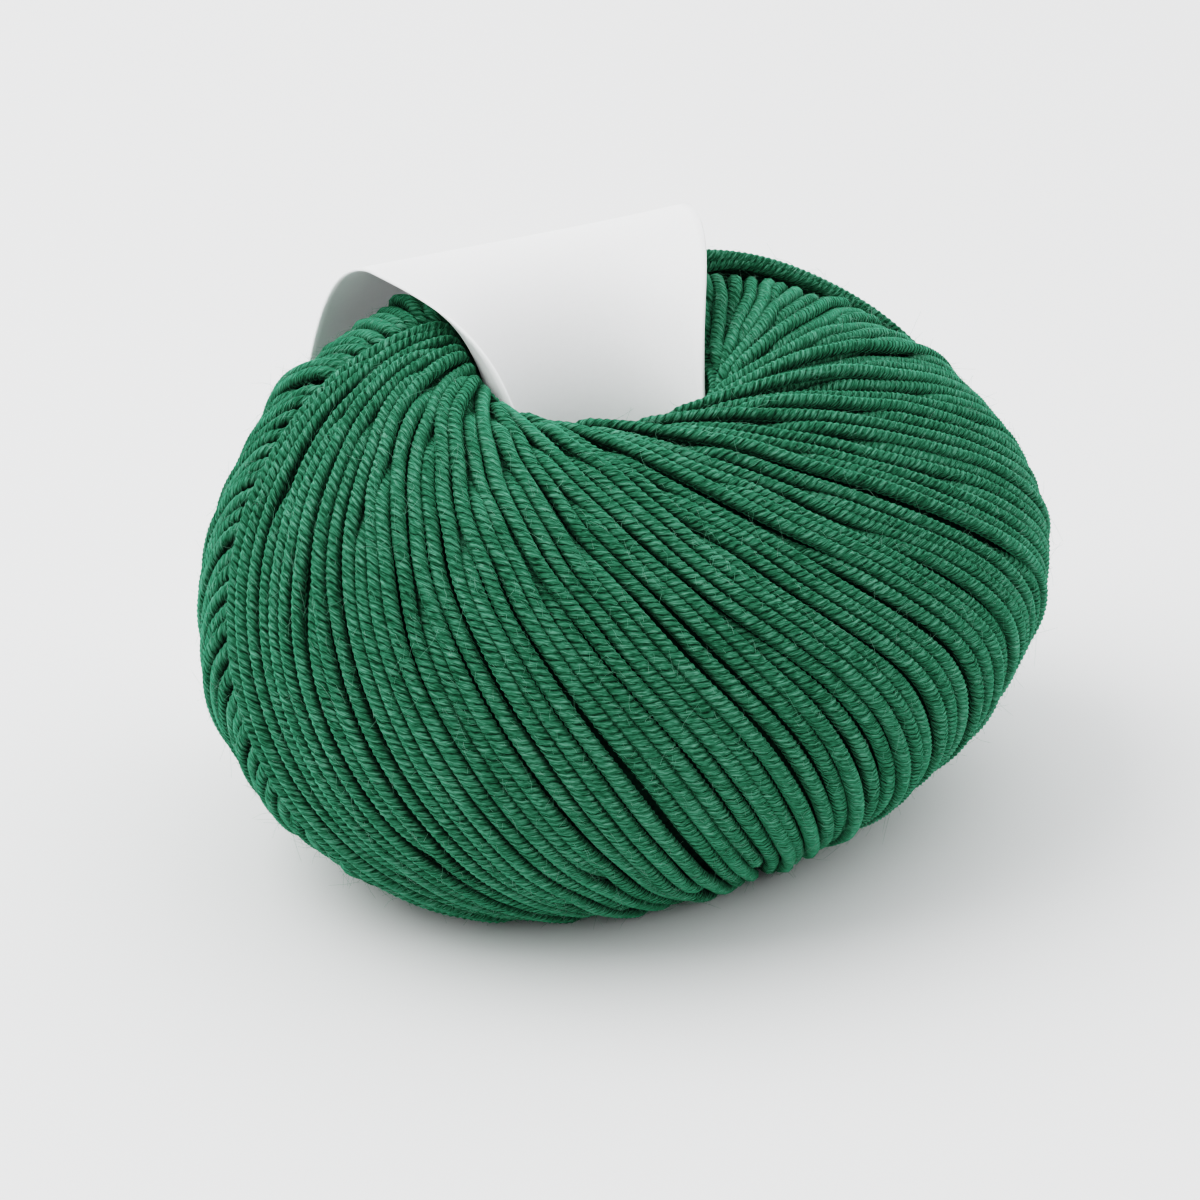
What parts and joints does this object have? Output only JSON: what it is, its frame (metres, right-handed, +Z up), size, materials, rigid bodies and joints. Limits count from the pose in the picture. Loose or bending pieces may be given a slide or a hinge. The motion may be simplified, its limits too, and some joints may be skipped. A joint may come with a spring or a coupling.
{
  "type": "ball of yarn",
  "caption": "Machine-wound ball of plied green knitting wool with a hole through its middle and a plain white paper band looped through it.",
  "frame": {"origin": "middle of the underside of the whole, on the surface that the ball rests on", "axes": "+Z up along the hole of the ball, +X along the ball's longest extent, +Y towards the side that carries the paper band"},
  "size_m": [0.1152, 0.0906, 0.0697],
  "materials": {
    "wool": "matte plied wool",
    "paper": "smooth white paper with a slight sheen"
  },
  "bodies": {
    "root": {"ball": "wool", "band": "paper"}
  },
  "joints": []
}
